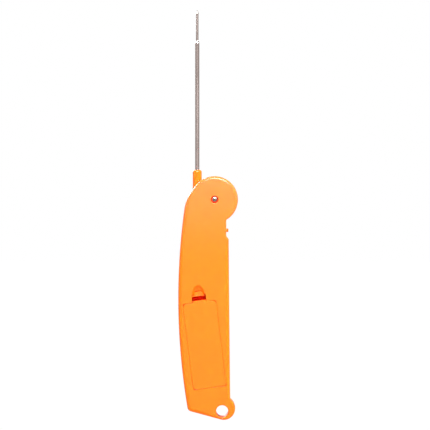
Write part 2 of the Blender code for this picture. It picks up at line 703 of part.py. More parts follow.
def make_fold_switch():
    """A sprung plunger in the notch that the folded neck lies over, and its switch."""
    z = PLUNGER_Z
    half_y, half_z = 1.5 * MM, 1.2 * MM
    nose_x, flange_x = -4.4 * MM, -0.85 * MM
    place = Matrix.Translation((nose_x, 0, z))
    length = flange_x - nose_x
    plunger = box("fold_plunger", (0, -half_y, -half_z), (length + 0.2 * MM, half_y, half_z), place)
    nose = plunger.modifiers.new("Nose", "BEVEL")
    nose.width = 0.4 * MM
    nose.segments = 2
    flange_low = (length, -half_y - 0.8 * MM, -half_z - 0.8 * MM)
    flange_high = (length + 0.7 * MM, half_y + 0.8 * MM, half_z + 0.8 * MM)
    join(plunger, box("plunger_flange", flange_low, flange_high, place))
    join(plunger, rod("plunger_rod", (length, 0, 0), (length + 3.6 * MM, 0, 0), 0.55 * MM, place, 16))
    as_part(plunger, SHELL)
    body = box("fold_switch", (1.6 * MM, BOARD_BACK_Y + 0.1 * MM, z - 3 * MM), (7.6 * MM, 2 * MM, z + 3 * MM))
    cut(body, rod("rod_cut", (0, 0, z), (5 * MM, 0, z), 0.85 * MM, sides=16))
    as_part(body, BLACK, smooth=False)


def make_lead():
    """From the board, through the front ear's channel, into the ring-shaped hollow of the hub."""
    x = 12 * MM
    route = [
        (x, -2.9 * MM, 126.5 * MM),
        (x, -2.95 * MM, 129 * MM),
        (x, -3.2 * MM, 130.8 * MM),
        (x, -4.2 * MM, 132.8 * MM),
        (x, -5.2 * MM, 134.6 * MM),
        (x, -5.5 * MM, 137 * MM),
        (x, -5.5 * MM, 140 * MM),
        (x, -5.2 * MM, 142 * MM),
        (x, -4.2 * MM, 143.4 * MM),
        (x, -2.2 * MM, 143.8 * MM),
    ]
    as_part(tube("probe_lead", route, 0.6 * MM), RUBBER)


for old in list(bpy.data.objects):
    bpy.data.objects.remove(old)
PARTS = fresh_collection("folding_thermometer")
CUTTERS = fresh_collection("cutters")

SHELL = paint("orange_shell", (0.95, 0.33, 0.03), 0.4)
DOOR_PLASTIC = paint("orange_door", (0.95, 0.32, 0.03), 0.4)
HUB_PLASTIC = paint("orange_hub", (0.93, 0.3, 0.03), 0.38)
STEEL = paint("steel", (0.62, 0.6, 0.58), 0.25, metallic=1)
GLASS_BEAD = paint("glass_bead", (0.5, 0.35, 0.2), 0.3)
WIRE = paint("wire_enamel", (0.55, 0.25, 0.12), 0.4)
NYLON = paint("white_nylon", (0.85, 0.84, 0.8), 0.5)
CELL_WRAP = paint("cell_wrap", (0.06, 0.09, 0.16), 0.35)
BOARD = paint("board_green", (0.03, 0.2, 0.09), 0.45)
BLACK = paint("black_plastic", (0.02, 0.02, 0.02), 0.5)
LENS = paint("clear_lens", (0.85, 0.9, 0.9), 0.08, alpha=0.35)
LCD = paint("lcd_glass", (0.42, 0.47, 0.38), 0.2)
RUBBER = paint("grey_rubber", (0.12, 0.12, 0.12), 0.7)
BUTTON = paint("button_grey", (0.16, 0.16, 0.17), 0.5)

shared_cutters = make_shared_cutters()
make_back_shell(shared_cutters)
make_front_shell(shared_cutters)
make_door()
make_probe()
make_pivot_pieces()
make_case_screws()
make_cells()
make_electronics()
make_buttons()
make_fold_switch()
make_lead()
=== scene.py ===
"""The looks of the folding meat thermometer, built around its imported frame.

Metres, +Z up. The display faces -Y and the battery door +Y. Outlines are lists of (x, z) points,
and lofts made from them are thick along Y. The battery bay and its latch use (u, v) for x and z in
a frame that leans with the door.
"""

import json
import math

import bmesh
import bpy
from mathutils import Matrix, Vector


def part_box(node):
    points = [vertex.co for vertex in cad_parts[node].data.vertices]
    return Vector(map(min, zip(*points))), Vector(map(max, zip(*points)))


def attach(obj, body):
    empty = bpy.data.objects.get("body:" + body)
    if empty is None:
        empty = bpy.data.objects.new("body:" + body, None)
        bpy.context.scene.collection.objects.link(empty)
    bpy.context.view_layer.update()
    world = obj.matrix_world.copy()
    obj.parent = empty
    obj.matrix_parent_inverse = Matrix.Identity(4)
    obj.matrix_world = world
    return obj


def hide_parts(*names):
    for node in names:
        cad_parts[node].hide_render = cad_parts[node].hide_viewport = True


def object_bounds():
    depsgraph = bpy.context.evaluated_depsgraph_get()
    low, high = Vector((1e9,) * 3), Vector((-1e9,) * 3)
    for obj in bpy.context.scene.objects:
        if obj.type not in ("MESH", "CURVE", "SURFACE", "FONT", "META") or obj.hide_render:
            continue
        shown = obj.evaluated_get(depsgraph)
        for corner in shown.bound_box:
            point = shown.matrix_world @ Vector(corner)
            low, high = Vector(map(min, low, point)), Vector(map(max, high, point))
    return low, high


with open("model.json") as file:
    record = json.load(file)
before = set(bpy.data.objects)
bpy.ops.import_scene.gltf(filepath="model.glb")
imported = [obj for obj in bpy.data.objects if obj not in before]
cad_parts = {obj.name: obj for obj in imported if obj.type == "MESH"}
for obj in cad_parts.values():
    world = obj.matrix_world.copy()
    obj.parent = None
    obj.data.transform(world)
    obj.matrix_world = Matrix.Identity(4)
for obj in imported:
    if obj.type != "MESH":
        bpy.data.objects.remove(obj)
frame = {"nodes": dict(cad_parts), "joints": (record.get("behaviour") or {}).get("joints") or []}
CAD_BOX = [list(corner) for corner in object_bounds()]

MM = 0.001
WORLD = Matrix.Identity(4)
JOINTS = {joint["name"]: joint for joint in frame["joints"]}

# Places read from the frame
PIVOT = Vector((JOINTS["probe_fold"]["pos_m"][0], JOINTS["probe_fold"]["pos_m"][2]))
BACK_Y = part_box("back_shell")[1].y
FRONT_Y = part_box("front_shell")[0].y
DOOR_HINGE = Vector(JOINTS["battery_door_tilt"]["pos_m"])
DOOR_AXIS = Vector(JOINTS["battery_door_tilt"]["axis"])
BAY_LEAN = math.atan2(DOOR_AXIS.z, -DOOR_AXIS.x)
STEM_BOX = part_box("probe_stem")
STEM_X = (STEM_BOX[0].x + STEM_BOX[1].x) / 2
STEM_R = (STEM_BOX[1].x - STEM_BOX[0].x) / 2
STEM_TOP = STEM_BOX[1].z
NECK_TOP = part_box("probe_hub")[1].z

# Case outline
EYE_HOLE_R = 4.3 * MM
EYE_CENTRE = Vector((-1.2 * MM, 1.8 * MM))
EYE_R = 8 * MM
BELLY_CENTRE = Vector((-429.9 * MM, 78.8 * MM))
BELLY_R = 460.7 * MM
SHOULDER_R = 27 * MM
SHOULDER_ANGLE = 7.8
HEAD_R = 16.5 * MM
BASE_SLOPE = 14.9
CORNER_R = 3.2 * MM
NOTCH_X = -2.9 * MM
NOTCH_LOW_Z = 122.3 * MM
EDGE_TOP = Vector((-4.63 * MM, 120.3 * MM))
EDGE_LOW_X = -5.69 * MM
DRAFT = 0.2 * MM
RIM_R = 2.5 * MM
# How far a cutter's lip starts from the face it meets, so that the two never coincide
CLEAR = 0.006 * MM
# Edges that turn by more than this, in degrees, stay sharp in the shading
SHARP_FROM = 40

# Battery bay
DOOR_SIZE = (23.2 * MM, 60 * MM)
BAY = (
    Matrix.Translation((DOOR_HINGE.x, 0, DOOR_HINGE.z))
    @ Matrix.Rotation(BAY_LEAN, 4, "Y")
    @ Matrix.Translation((0, 0, DOOR_SIZE[1] / 2))
)
HOOK_U = 3.9 * MM
SCREW_PLACES = [(u * MM, v * MM) for v in (28, -28) for u in (-8, 8)]

# Screw heads: radius, height of the underside, height of the top
PIVOT_HEAD = (1.9 * MM, 8.25 * MM, 9.45 * MM)
CASE_HEAD = (1.8 * MM, 6.5 * MM, 7.8 * MM)
RECESS_HALF = 0.2 * MM

# Colours
ORANGE = (0.98, 0.185, 0.004)
# Painted sheen: the shell's colour at the head, paler where the light from above falls
PAINTED_SHEEN_ORANGE = (0.98, 0.222, 0.068)
# Painted shade: the orange darkened to red for pockets, slots and wells in shade
PAINTED_SHADE_RED = (0.92, 0.045, 0.001)


# ---------------------------------------------------------------- outlines


def arc(centre, radius, start, end, count):
    """Points on an arc from start to end, in degrees, both ends included."""
    points = []
    for step in range(count + 1):
        angle = math.radians(start + (end - start) * step / count)
        points.append((centre[0] + radius * math.cos(angle), centre[1] + radius * math.sin(angle)))
    return points


def direction(angle):
    return Vector((math.cos(math.radians(angle)), math.sin(math.radians(angle))))


def angle_of(vector):
    return math.degrees(math.atan2(vector.y, vector.x))


def circle(radius, count=64, centre=(0, 0)):
    return arc(centre, radius, 0, 360 * (count - 1) / count, count - 1)


def quarter_round(radius, steps, first=0):
    """Rise and inset from a wall's top to the face beside it."""
    angles = [math.radians(90 * step / steps) for step in range(first, steps + 1)]
    return [(radius * math.sin(angle), radius * (1 - math.cos(angle))) for angle in angles]


def rounded_rectangle(centre, width, height, radius, count=8):
    """Anticlockwise points, with count steps in each corner."""
    points = []
    for start, side_x, side_z in ((0, 1, 1), (90, -1, 1), (180, -1, -1), (270, 1, -1)):
        corner = (
            centre[0] + side_x * (width / 2 - radius),
            centre[1] + side_z * (height / 2 - radius),
        )
        points += arc(corner, radius, start, start + 90, count)
    return points


def spaced(points, gap):
    """The closed outline's points again, evenly spaced."""
    corners = [Vector(p) for p in points]
    corners.append(corners[0])
    lengths = [(b - a).length for a, b in zip(corners, corners[1:])]
    count = round(sum(lengths) / gap)
    step = sum(lengths) / count
    made, walked, index = [], 0.0, 0
    for number in range(count):
        target = number * step
        while walked + lengths[index] < target:
            walked += lengths[index]
            index += 1
        share = (target - walked) / lengths[index]
        made.append(corners[index].lerp(corners[index + 1], share))
    return made


def softened(points, passes):
    """Each corner of an evenly spaced outline rounded a little."""
    for _ in range(passes):
        points = [
            points[i] * 0.5 + (points[i - 1] + points[(i + 1) % len(points)]) * 0.25
            for i in range(len(points))
        ]
    return points


def thinned(points, most_turn=2.5, most_gap=5 * MM):
    """Drops points where the outline runs nearly straight."""
    kept, turn = [points[0]], 0.0
    for before, point, after in zip(points, points[1:], points[2:] + points[:1]):
        turn += abs(math.degrees((after - point).angle_signed(point - before)))
        if turn >= most_turn or (point - kept[-1]).length >= most_gap:
            kept.append(point)
            turn = 0.0
    return kept


def moved_in(points, inset, share=None):
    """An anticlockwise outline moved inwards along its mitres, by inset or a share of it."""
    made = []
    corners = [Vector(p) for p in points]
    for index, point in enumerate(corners):
        before = (point - corners[index - 1]).normalized()
        after = (corners[(index + 1) % len(corners)] - point).normalized()
        mitre = Vector((-before.y - after.y, before.x + after.x)).normalized()
        reach = inset / max(0.5, mitre.dot(Vector((-after.y, after.x))))
        made.append(point + mitre * (reach * share(point) if share else reach))
    return made


def rim_share(point):
    """The rim's rounding is smaller in the notch and round the eye, and full elsewhere."""
    near_notch = 1 - min(1, max(0, (abs(point.y - 127 * MM) - 9 * MM) / (7 * MM)))
    near_notch *= 1 - min(1, max(0, (point.x - 2 * MM) / (6 * MM)))
    near_eye = 1 - min(1, max(0, ((point - EYE_CENTRE).length - 9 * MM) / (8 * MM)))
    return 1 - 0.6 * near_notch - 0.35 * near_eye


def corner_centre():
    """Centre of the rounded corner between the sloping base and the belly."""
    outward = direction(270 + BASE_SLOPE)
    along = direction(BASE_SLOPE)
    start = EYE_CENTRE + outward * (EYE_R - CORNER_R)
    gap = start - BELLY_CENTRE
    reach = gap.dot(along)
    room = gap.length_squared - (BELLY_R - CORNER_R) ** 2
    return start + along * (math.sqrt(reach * reach - room) - reach)


def case_outline():
    """The case seen from the front, anticlockwise from where the straight edge meets the eye."""
    edge_angle = math.degrees(math.acos((EDGE_LOW_X - EYE_CENTRE.x) / EYE_R))
    base_angle = 270 + BASE_SLOPE
    points = arc(EYE_CENTRE, EYE_R, edge_angle, base_angle, 60)
    corner = corner_centre()
    belly_start = angle_of(corner - BELLY_CENTRE)
    points += arc(corner, CORNER_R, base_angle, 360 + belly_start, 12)
    points += arc(BELLY_CENTRE, BELLY_R, belly_start, SHOULDER_ANGLE, 60)[1:]
    shoulder = BELLY_CENTRE + direction(SHOULDER_ANGLE) * (BELLY_R - SHOULDER_R)
    apart = PIVOT - shoulder
    # The head's circle meets the shoulder's at this angle on each side of the line between centres.
    cosine = (apart.length_squared + SHOULDER_R**2 - HEAD_R**2) / (2 * apart.length * SHOULDER_R)
    meet_angle = angle_of(apart) - math.degrees(math.acos(cosine))
    points += arc(shoulder, SHOULDER_R, SHOULDER_ANGLE, meet_angle, 20)[1:]
    meet = shoulder + direction(meet_angle) * SHOULDER_R
    notch_angle = 360 - math.degrees(math.acos((NOTCH_X - PIVOT.x) / HEAD_R))
    points += arc(PIVOT, HEAD_R, angle_of(meet - PIVOT), notch_angle, 90)[1:]
    points += [(NOTCH_X, NOTCH_LOW_Z), tuple(EDGE_TOP)]
    return thinned(softened(spaced(points, 0.3 * MM), 5))


def belly_x(z, inset=0.0):
    """X of the long curved side at a height, moved inwards by inset."""
    return BELLY_CENTRE.x + math.sqrt((BELLY_R - inset) ** 2 - (z - BELLY_CENTRE.y) ** 2)


def cavity_outline():
    low_z, step_z, top_z = 10.5 * MM, 117 * MM, 132.5 * MM
    edge_x, notch_x, wall = -3.25 * MM, -1.1 * MM, 1.8 * MM
    heights = [low_z + (top_z - low_z) * step / 30 for step in range(31)]
    points = [(belly_x(z, wall), z) for z in heights]
    return points + [(notch_x, top_z), (notch_x, step_z), (edge_x, step_z), (edge_x, low_z)]


def slot_outline():
    """Room for the hub, open over the top and on the notch side, where the neck swings."""
    slot_r, side_x, low_z = 13.4 * MM, 20.95 * MM, 147.9 * MM
    far_x, far_z, left_x, left_z = -20 * MM, 175 * MM, -2.6 * MM, 133 * MM
    start = -math.degrees(math.asin((PIVOT.y - low_z) / slot_r))
    end = -math.degrees(math.acos((left_x - PIVOT.x) / slot_r))
    points = [(far_x, left_z), (far_x, far_z), (side_x, far_z), (side_x, low_z)]
    return (points + arc(PIVOT, slot_r, start, end, 60) + [(left_x, left_z)])[::-1]


# ---------------------------------------------------------------- solids


def new_object(name, shape, matrix=WORLD):
    bmesh.ops.recalc_face_normals(shape, faces=shape.faces)
    mesh = bpy.data.meshes.new(name)
    shape.to_mesh(mesh)
    shape.free()
    obj = bpy.data.objects.new(name, mesh)
    obj.matrix_world = matrix
    bpy.context.scene.collection.objects.link(obj)
    return obj


def loft(name, outline, levels, matrix=WORLD, share=None):
    """A closed solid through copies of an outline: one for each (y, inset) level."""
    shape = bmesh.new()
    rings = []
    for y, inset in levels:
        ring = moved_in(outline, inset, share) if inset else [Vector(p) for p in outline]
        rings.append([shape.verts.new((p.x, y, p.y)) for p in ring])
    for low, high in zip(rings, rings[1:]):
        for index in range(len(low)):
            after = (index + 1) % len(low)
            shape.faces.new((low[index], low[after], high[after], high[index]))
    shape.faces.new(rings[0])
    shape.faces.new(rings[-1])
    return new_object(name, shape, matrix)


def turned(name, profile, matrix=WORLD, steps=64):
    """A profile of (radius, height) points turned about local Z. It starts and ends on the axis."""
    shape = bmesh.new()
    corners = [shape.verts.new((radius, 0, height)) for radius, height in profile]
    edges = [shape.edges.new(pair) for pair in zip(corners, corners[1:])]
    bmesh.ops.spin(
        shape,
        geom=[*corners, *edges],
        axis=(0, 0, 1),
        cent=(0, 0, 0),
        angle=math.tau,
        steps=steps,
        use_merge=True,
    )
    bmesh.ops.remove_doubles(shape, verts=shape.verts, dist=1e-7)
    return new_object(name, shape, matrix)


def box(name, low, high, matrix=WORLD, edge=0.0):
    """A box between two corners, its edges rounded by edge."""
    low, high = Vector(low), Vector(high)
    shape = bmesh.new()
    place = Matrix.Translation((low + high) / 2) @ Matrix.Diagonal((*(high - low), 1))
    bmesh.ops.create_cube(shape, size=1, matrix=place)
    if edge:
        bmesh.ops.bevel(
            shape, geom=shape.edges[:], offset=edge, segments=3, profile=0.5, affect="EDGES"
        )
    return new_object(name, shape, matrix)


def along_y(x, z):
    """A frame whose Z axis is the world's +Y, at a place in X and Z."""
    return Matrix.Translation((x, 0, z)) @ Matrix.Rotation(math.radians(-90), 4, "X")


def lip_levels(bottom_y, top_y, lip, steps=4):
    """Levels for a cutter that opens at top_y, leaves a rounded lip there and runs out past it."""
    side, over = 1 if top_y > bottom_y else -1, 0.4 * MM
    levels = [(bottom_y, 0.0)]
    for step in range(steps + 1):
        depth = lip * (1 - step / steps)
        flare = lip - math.sqrt(max(0, lip * lip - (lip - depth) ** 2))
        levels.append((top_y - side * (depth - CLEAR), -flare))
    levels.append((top_y + side * over, -lip))
    return levels


def combine(target, operation, *tools):
    """Cuts or joins the tools, one by one, and removes them."""
    for tool in tools:
        modifier = target.modifiers.new("Combine", "BOOLEAN")
        modifier.operation = operation
        modifier.solver = "EXACT"
        modifier.object = tool
        bpy.context.view_layer.update()
        evaluated = target.evaluated_get(bpy.context.evaluated_depsgraph_get())
        mesh = bpy.data.meshes.new_from_object(evaluated)
        target.modifiers.clear()
        target.data = mesh
        bpy.data.objects.remove(tool)


def cut(target, *tools):
    combine(target, "DIFFERENCE", *tools)


def join(target, *tools):
    combine(target, "UNION", *tools)


def dressed(obj, material, body, nodes, weighted=True):
    """Gives a finished piece its shading, material and body, and hides the CAD nodes it stands for.
    """
    obj.data.shade_smooth()
    obj.data.set_sharp_from_angle(angle=math.radians(SHARP_FROM))
    if weighted:
        modifier = obj.modifiers.new("Flat faces", "WEIGHTED_NORMAL")
        modifier.keep_sharp = True
        modifier.weight = 80
    obj.data.materials.clear()
    obj.data.materials.append(material)
    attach(obj, body)
    if nodes:
        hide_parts(*nodes)


def repainted(obj, material, place, low, high):
    """Another material, here a painted shade, for faces whose centres, after place, lie in a box
    given in mm.
    """
    if material.name not in obj.data.materials:
        obj.data.materials.append(material)
    index = obj.data.materials.find(material.name)
    for face in obj.data.polygons:
        centre = place @ face.center
        if all(a * MM <= c <= b * MM for a, c, b in zip(low, centre, high)):
            face.material_index = index


# ---------------------------------------------------------------- materials


def shader_tree(name):
    material = bpy.data.materials.new(name)
    material.use_nodes = True
    tree = material.node_tree
    return material, tree, tree.nodes["Principled BSDF"]


def add_node(tree, kind, **inputs):
    node = tree.nodes.new(kind)
    for key, value in inputs.items():
        node.inputs[key].default_value = value
    return node


def noise(tree, scale, detail=4, stretch=(1, 1, 1)):
    """A noise in the piece's own metres, so scale is features per metre."""
    place = tree.nodes.new("ShaderNodeTexCoord")
    mapping = tree.nodes.new("ShaderNodeMapping")
    mapping.inputs["Scale"].default_value = stretch
    tree.links.new(place.outputs["Object"], mapping.inputs["Vector"])
    texture = add_node(tree, "ShaderNodeTexNoise", Scale=scale, Detail=detail)
    tree.links.new(mapping.outputs["Vector"], texture.inputs["Vector"])
    return texture.outputs["Fac"]


def spread(tree, value, low, high, start=0.35, end=0.65):
    """The value's middle range mapped to low and high."""
    node = add_node(tree, "ShaderNodeMapRange")
    node.inputs["From Min"].default_value = start
    node.inputs["From Max"].default_value = end
    node.inputs["To Min"].default_value = low
    node.inputs["To Max"].default_value = high
    tree.links.new(value, node.inputs["Value"])
    return node.outputs["Result"]


def two_colours(tree, value, first, second):
    """The first colour where the value is 0, the second where it is 1. The first may be a socket."""
    mix = tree.nodes.new("ShaderNodeMix")
    mix.data_type = "RGBA"
    if isinstance(first, tuple):
        mix.inputs["A"].default_value = (*first, 1)
    else:
        tree.links.new(first, mix.inputs["A"])
    mix.inputs["B"].default_value = (*second, 1)
    tree.links.new(value, mix.inputs["Factor"])
    return mix.outputs["Result"]


def painted_sheen_upward(tree, body, paler):
    """The body's colour, painted paler from the middle of the case up to the head: a painted sheen
    for the light from above.
    """
    place = tree.nodes.new("ShaderNodeTexCoord")
    axes = tree.nodes.new("ShaderNodeSeparateXYZ")
    tree.links.new(place.outputs["Object"], axes.inputs["Vector"])
    height = spread(tree, axes.outputs["Z"], 0, 1, 100 * MM, 200 * MM)
    height.node.interpolation_type = "SMOOTHSTEP"
    return two_colours(tree, height, body, paler)


def add_bump(tree, shader, height, distance, strength=1.0, under=None):
    bump = add_node(tree, "ShaderNodeBump", Strength=strength, Distance=distance)
    tree.links.new(height, bump.inputs["Height"])
    if under:
        tree.links.new(under, bump.inputs["Normal"])
    tree.links.new(bump.outputs["Normal"], shader.inputs["Normal"])
    return bump.outputs["Normal"]


def moulded(name, colour, roughness, grain=0.004 * MM, specular=0.5, translucent=0.0, paler=None):
    """Injection-moulded plastic: faint flow shading, uneven sheen, a fine spark-eroded grain and,
    given paler, a painted sheen towards the head.
    """
    material, tree, shader = shader_tree(name)
    deeper = tuple(channel * share for channel, share in zip(colour, (1, 0.99, 0.97)))
    flow = spread(tree, noise(tree, 35, 3, (1, 1, 0.35)), 0, 1, 0.2, 0.8)
    body = two_colours(tree, flow, colour, deeper)
    # Painted sheen: paler towards the head, where the top light falls
    if paler:
        body = painted_sheen_upward(tree, body, paler)
    tree.links.new(body, shader.inputs["Base Color"])
    sheen = spread(tree, noise(tree, 120, 5), roughness * 0.97, roughness * 1.03, 0.15, 0.85)
    tree.links.new(sheen, shader.inputs["Roughness"])
    shader.inputs["Specular IOR Level"].default_value = specular
    shader.inputs["Subsurface Weight"].default_value = translucent
    shader.inputs["Subsurface Radius"].default_value = (1.0, 0.22, 0.04)
    shader.inputs["Subsurface Scale"].default_value = 2.5 * MM
    waves = add_bump(tree, shader, noise(tree, 60, 2), 0.02 * MM, 0.3)
    add_bump(tree, shader, noise(tree, 2600, 3), grain, 1.0, waves)
    return material


def metal(name, colour, roughness, stretch=(1, 1, 1), scale=3000, scratch=0.002 * MM, detail=6):
    """Steel with fine working marks and a cloudy polish."""
    material, tree, shader = shader_tree(name)
    shader.inputs["Metallic"].default_value = 1
    worn = tuple(channel * 0.86 for channel in colour)
    marks = noise(tree, scale, detail, stretch)
    clouds = noise(tree, 90, 4)
    tarnish = two_colours(tree, spread(tree, clouds, 0, 1), colour, worn)
    tree.links.new(tarnish, shader.inputs["Base Color"])
    polish = spread(tree, marks, roughness * 0.8, roughness * 1.3)
    tree.links.new(polish, shader.inputs["Roughness"])
    add_bump(tree, shader, marks, scratch)
    return material


def make_materials():
    made = {
        # The shell's colour gets a painted sheen, paler towards the head
        "shell": moulded("orange_shell_plastic", ORANGE, 0.28, translucent=0.35, paler=PAINTED_SHEEN_ORANGE),
        # Painted shade: darker red for the pockets, slots and wells
        "deep": moulded("orange_plastic_painted_shade", PAINTED_SHADE_RED, 0.4, specular=0.2, translucent=0.35),
        "hub": moulded("orange_hub_plastic", ORANGE, 0.28, translucent=0.1),
        "stem": metal("stem_steel", (0.95, 0.79, 0.75), 0.22, (1, 1, 0.02), 1200, 0.0002 * MM, 1),
        "screw": metal("screw_steel", (0.6, 0.53, 0.48), 0.34),
        # Painted shade: near black in the screws' cross recesses
        "recess_shade_paint": moulded("painted_recess_shade", (0.05, 0.045, 0.04), 0.6),
        "spring": metal("spring_steel", (0.66, 0.64, 0.6), 0.28),
        "nylon": moulded("white_nylon", (0.82, 0.81, 0.77), 0.5),
        "black": moulded("black_plastic", (0.018, 0.018, 0.019), 0.45),
        "rubber": moulded("grey_rubber", (0.035, 0.035, 0.037), 0.62, 0.008 * MM, 0.3),
        "key": moulded("key_rubber", (0.045, 0.046, 0.05), 0.55, 0.008 * MM, 0.35),
        "board": moulded("board_mask", (0.015, 0.13, 0.05), 0.35),
        "cell": moulded("cell_wrap", (0.03, 0.045, 0.09), 0.25),
        "lcd": moulded("display_glass", (0.36, 0.42, 0.33), 0.3, 0.001 * MM),
        "ink": moulded("display_segments", (0.012, 0.014, 0.013), 0.4, 0.001 * MM),
        "mark": moulded("key_marks", (0.75, 0.75, 0.73), 0.5, 0.002 * MM),
        "wire": metal("wire_enamel", (0.5, 0.2, 0.08), 0.35),
        "bead": moulded("sensor_glass", (0.35, 0.22, 0.12), 0.2),
    }
    material, tree, shader = shader_tree("clear_lens")
    shader.inputs["Base Color"].default_value = (0.96, 0.98, 0.98, 1)
    shader.inputs["Transmission Weight"].default_value = 1
    shader.inputs["IOR"].default_value = 1.49
    tree.links.new(spread(tree, noise(tree, 150, 4), 0.02, 0.05), shader.inputs["Roughness"])
    add_bump(tree, shader, noise(tree, 80, 2), 0.004 * MM)
    made["lens"] = material
    return made


# ---------------------------------------------------------------- case


def side_levels(face_y):
    """From the parting line out to the flat face: a lip, a drafted side and a rounded rim."""
    side = 1 if face_y > 0 else -1
    levels = [(0.002 * MM, 0.3 * MM), (0.1 * MM, 0.1 * MM), (0.3 * MM, 0.0)]
    wall_top = abs(face_y) - RIM_R
    levels += [(wall_top * 0.5, DRAFT * 0.5), (wall_top, DRAFT)]
    levels += [(wall_top + rise, DRAFT + inset) for rise, inset in quarter_round(RIM_R, 8, 1)]
    return [(side * y, inset) for y, inset in levels]


def shared_openings(face_y):
    """Hollows both halves share: the eye, the hub's slot, the groove and the plunger's hole."""
    slot_half = 4.2 * MM
    inside = -1 * MM if face_y > 0 else 1 * MM
    eye = loft("eye", circle(EYE_HOLE_R, 72), lip_levels(inside, face_y, 0.7 * MM, steps=6))
    slot = loft("slot", slot_outline(), [(-slot_half, 0), (slot_half, 0)])
    folded_x = 2 * PIVOT.x - STEM_X
    groove = box(
        "groove",
        (folded_x - 6 * MM, -2 * MM, 12.5 * MM),
        (-4.35 * MM, 2 * MM, 121 * MM),
        edge=0.6 * MM,
    )
    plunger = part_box("fold_plunger")
    middle = (plunger[0].z + plunger[1].z) / 2
    half_y, half_z = 1.75 * MM, 1.45 * MM
    hole = box(
        "plunger_hole",
        (-5 * MM, -half_y, middle - half_z),
        (-0.6 * MM, half_y, middle + half_z),
        edge=0.3 * MM,
    )
    return [eye, slot, groove, hole]


def make_back_shell(paints):
    """Rear half: hollow, with the pivot screw's well, battery tub, latch pocket and scoop."""
    shell = loft("back_half", case_outline(), side_levels(BACK_Y), share=rim_share)
    inside_y = BACK_Y - 1.7 * MM
    cut(shell, loft("cavity", cavity_outline(), [(-1 * MM, 0), (inside_y, 0)]))
    cut(shell, *shared_openings(BACK_Y))
    well = circle(2.6 * MM, 64, PIVOT)
    cut(shell, loft("pivot_well", well, lip_levels(8.2 * MM, BACK_Y, 0.35 * MM, steps=5)))

    # Walls of the battery bay, up to just under the outside face
    roof = BACK_Y - 1.6 * MM
    join(
        shell,
        box("tub", (-12.1 * MM, -3.6 * MM, -25.5 * MM), (12.1 * MM, roof, 25.5 * MM), BAY),
        box("ledges", (-11.9 * MM, 5.4 * MM, -33 * MM), (11.9 * MM, roof, 33 * MM), BAY),
        box("latch_wall", (-6 * MM, 2.3 * MM, 29 * MM), (6 * MM, roof, 36.4 * MM), BAY),
        box("scoop_wall", (-6.5 * MM, 5.8 * MM, 28 * MM), (6.5 * MM, roof, 43 * MM), BAY),
    )
    width, length = [side + 0.3 * MM for side in DOOR_SIZE]
    opening = rounded_rectangle((0, 0), width, length, 1.2 * MM, 6)
    latch = rounded_rectangle((0, 32.7 * MM), 9.9 * MM, 5.6 * MM, 0.3 * MM)
    cut(
        shell,
        loft("recess", opening, lip_levels(8 * MM, BACK_Y, 0.14 * MM), BAY),
        box("tub_hollow", (-11 * MM, -2.7 * MM, -24.4 * MM), (11 * MM, 9 * MM, 24.4 * MM), BAY),
        loft("latch_pocket", latch, lip_levels(3.4 * MM, BACK_Y, 0.12 * MM), BAY),
    )
    # The thumb scoop, and a shallow wider one that breaks its edge
    for half_sizes, middle_v in (((4.4, 2.3, 7.5), 34.23), ((4.75, 0.7, 8.3), 34.03)):
        stretch = Matrix.Diagonal((*[half * MM for half in half_sizes], 1))
        upright = Matrix.Rotation(math.pi / 2, 4, "X")
        scoop = bmesh.new()
        bmesh.ops.create_uvsphere(
            scoop, u_segments=64, v_segments=40, radius=1, matrix=stretch @ upright
        )
        place = BAY @ Matrix.Translation((0, BACK_Y + 0.02 * MM, middle_v * MM))
        cut(shell, new_object("scoop", scoop, place))
    for side in (-1, 1):
        low = (side * HOOK_U - 1.8 * MM, 6.3 * MM, -32.1 * MM)
        high = (side * HOOK_U + 1.8 * MM, 8.15 * MM, -27.1 * MM)
        cut(shell, box("hook_pocket", low, high, BAY))
    for place in SCREW_PLACES:
        levels = [(6.4 * MM, 0), (8.2 * MM, 0)]
        cut(shell, loft("head_well", circle(2 * MM, 32, place), levels, BAY))
    dressed(shell, paints["shell"], "case", ["back_shell"])

    # Painted shade, darker red, in the latch pocket, on the scoop's floor, in the recess's corners
    # and in the pivot screw's well
    in_bay = BAY.inverted()
    repainted(shell, paints["deep"], in_bay, (-5.2, 3, 29.7), (5.2, 9.85, 35.7))
    repainted(shell, paints["deep"], in_bay, (-4.2, 6.5, 33), (4.2, 8.35, 38.0))
    for u in (-11.75, 11.75):
        for v in (-30.15, 30.15):
            repainted(shell, paints["deep"], in_bay, (u - 1, 7.9, v - 1), (u + 1, 9.9, v + 1))
    to_pivot = Matrix.Translation((-PIVOT.x, 0, -PIVOT.y))
    repainted(shell, paints["deep"], to_pivot, (-2.7, 8, -2.7), (2.7, 9.6, 2.7))


def make_front_shell(paints):
    """Front half: hollow, with the display's recess and window and the keys' holes."""
    shell = loft("front_half", case_outline(), side_levels(FRONT_Y), share=rim_share)
    cut(shell, loft("cavity", cavity_outline(), [(1 * MM, 0), (FRONT_Y + 1.8 * MM, 0)]))
    cut(shell, *shared_openings(FRONT_Y))
    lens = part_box("display_lens")
    centre = ((lens[0].x + lens[1].x) / 2, (lens[0].z + lens[1].z) / 2)
    width, height = lens[1].x - lens[0].x, lens[1].z - lens[0].z
    recess = rounded_rectangle(centre, width + 0.4 * MM, height + 0.4 * MM, 2.7 * MM)
    window = rounded_rectangle(centre, 21.5 * MM, 30 * MM, 1 * MM)
    cut(
        shell,
        loft("lens_recess", recess, lip_levels(-9 * MM, FRONT_Y, 0.3 * MM)),
        loft("window", window, [(-10.5 * MM, 0), (-7 * MM, 0)]),
    )
    for name in ("power", "hold", "unit"):
        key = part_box(name + "_button")
        middle = ((key[0].x + key[1].x) / 2, (key[0].z + key[1].z) / 2)
        hole = rounded_rectangle(middle, 14.6 * MM, 8.1 * MM, 4.05 * MM, 12)
        cut(shell, loft("key_hole", hole, lip_levels(-7 * MM, FRONT_Y, 0.5 * MM, steps=5)))
    dressed(shell, paints["shell"], "case", ["front_shell"])


